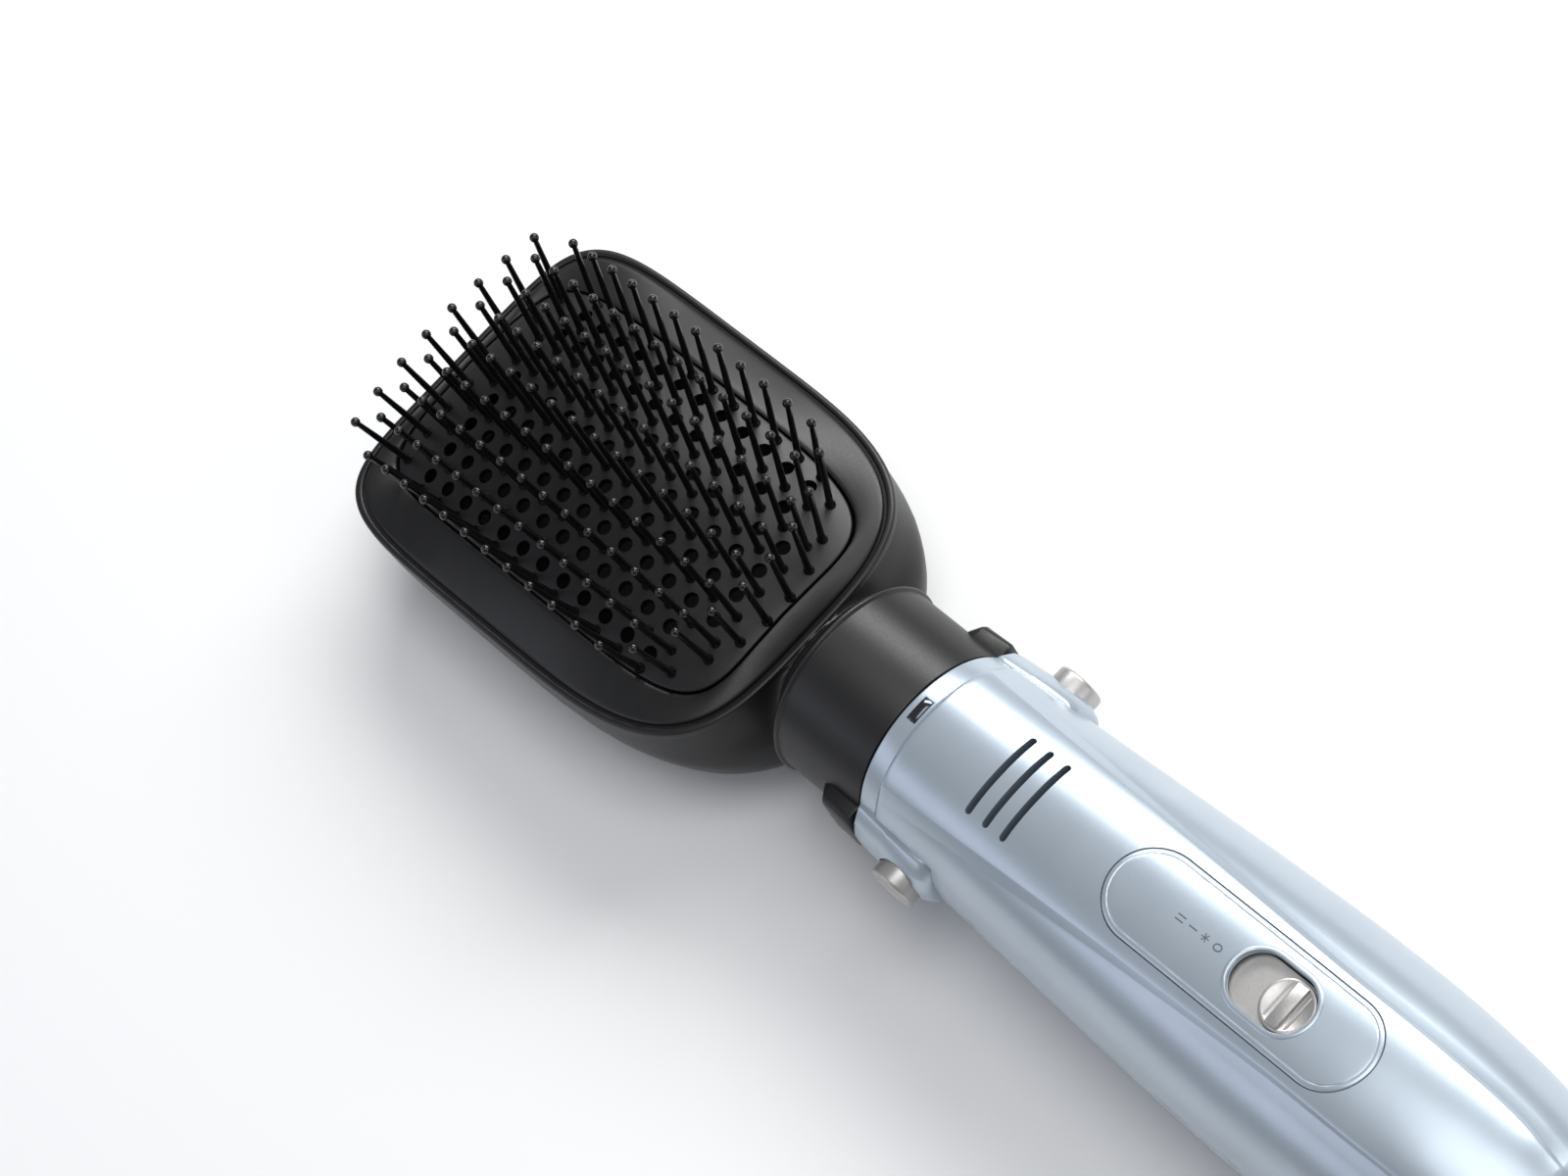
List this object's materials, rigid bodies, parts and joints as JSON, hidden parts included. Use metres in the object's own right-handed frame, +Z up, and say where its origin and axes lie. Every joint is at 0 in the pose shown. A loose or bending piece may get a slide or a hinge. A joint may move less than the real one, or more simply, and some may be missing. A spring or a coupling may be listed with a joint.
{
  "type": "hot air brush",
  "caption": "Paddle hot air brush: a vented pad of ball-tipped bristles on a neck that pulls off a blower handle with a slide switch and two release buttons.",
  "frame": {"origin": "middle of the object's box, on the surface that it lies on", "axes": "+X along the air axis from the brush head to the tail of the handle, +Z up out of the bristle face"},
  "size_m": [0.3496, 0.0878, 0.0634],
  "materials": {
    "black_plastic": "satin moulded",
    "pearl_paint": "pearl lacquer on moulded plastic",
    "satin_silver": "satin metallised",
    "dark_chrome": "polished plating",
    "white_plastic": "moulded",
    "steel": "drawn and plated",
    "mica": "pressed sheet",
    "heater_wire": "oxidised wire",
    "circuit_board": "solder mask",
    "rubber": "moulded",
    "foam": "open-cell foam"
  },
  "bodies": {
    "handle": {"upper_shell": "pearl_paint", "lower_shell": "pearl_paint", "front_collar": "pearl_paint", "index_mark": "dark_chrome", "switch_panel": "pearl_paint", "slide_switch": "white_plastic", "control_board": "circuit_board", "heater_sleeve": "steel", "heater_coil": "heater_wire", "mica_frame": "mica", "thermostat": "steel", "fan_duct": "white_plastic", "motor": "steel", "motor_mount": "rubber", "rear_grille": "black_plastic", "intake_filter": "foam", "tail_screw": "steel"},
    "brush_head": {"head_shell": "black_plastic", "neck_tube": "black_plastic", "face_frame": "black_plastic", "bristle_plate": "black_plastic", "bristle_row_01": "black_plastic", "bristle_row_02": "black_plastic", "bristle_row_03": "black_plastic", "bristle_row_04": "black_plastic", "bristle_row_05": "black_plastic", "bristle_row_06": "black_plastic", "bristle_row_07": "black_plastic", "bristle_row_08": "black_plastic", "bristle_row_09": "black_plastic", "bristle_row_10": "black_plastic", "bristle_row_11": "black_plastic", "bristle_row_12": "black_plastic", "bristle_row_13": "black_plastic", "bristle_row_14": "black_plastic", "bristle_side_left": "black_plastic", "bristle_side_right": "black_plastic", "bristle_end_far": "black_plastic", "bristle_end_near": "black_plastic", "air_guide": "black_plastic", "head_back_cover": "pearl_paint", "head_screw_1": "steel", "head_screw_2": "steel", "head_screw_3": "steel", "head_screw_4": "steel"},
    "release_button_left": {"release_button_left": "satin_silver"},
    "release_button_right": {"release_button_right": "satin_silver"},
    "switch_knob": {"switch_knob": "satin_silver"},
    "rotor": {"motor_shaft": "steel", "impeller": "white_plastic"},
    "cord_gland": {"cord_gland": "rubber"}
  },
  "joints": [
    {"name": "head_pull_off", "type": "slide", "parent": "handle", "child": "brush_head", "axis": [-1, 0, 0], "range_m": [0, 0.03]},
    {"name": "button_left_press", "type": "slide", "parent": "handle", "child": "release_button_left", "axis": [0, 1, 0], "range_m": [0, 0.0025], "stiffness_N_per_m": 1500},
    {"name": "button_right_press", "type": "slide", "parent": "handle", "child": "release_button_right", "axis": [0, -1, 0], "range_m": [0, 0.0025], "stiffness_N_per_m": 1500},
    {"name": "switch_slide", "type": "slide", "parent": "handle", "child": "switch_knob", "axis": [-1, 0, 0], "range_m": [0, 0.0069]},
    {"name": "rotor_spin", "type": "hinge", "parent": "handle", "child": "rotor", "pos_m": [0.09675, 0, 0.0294], "axis": [1, 0, 0], "continuous": true},
    {"name": "cord_swivel", "type": "hinge", "parent": "handle", "child": "cord_gland", "pos_m": [0.16275, 0, 0.0294], "axis": [1, 0, 0], "continuous": true}
  ]
}
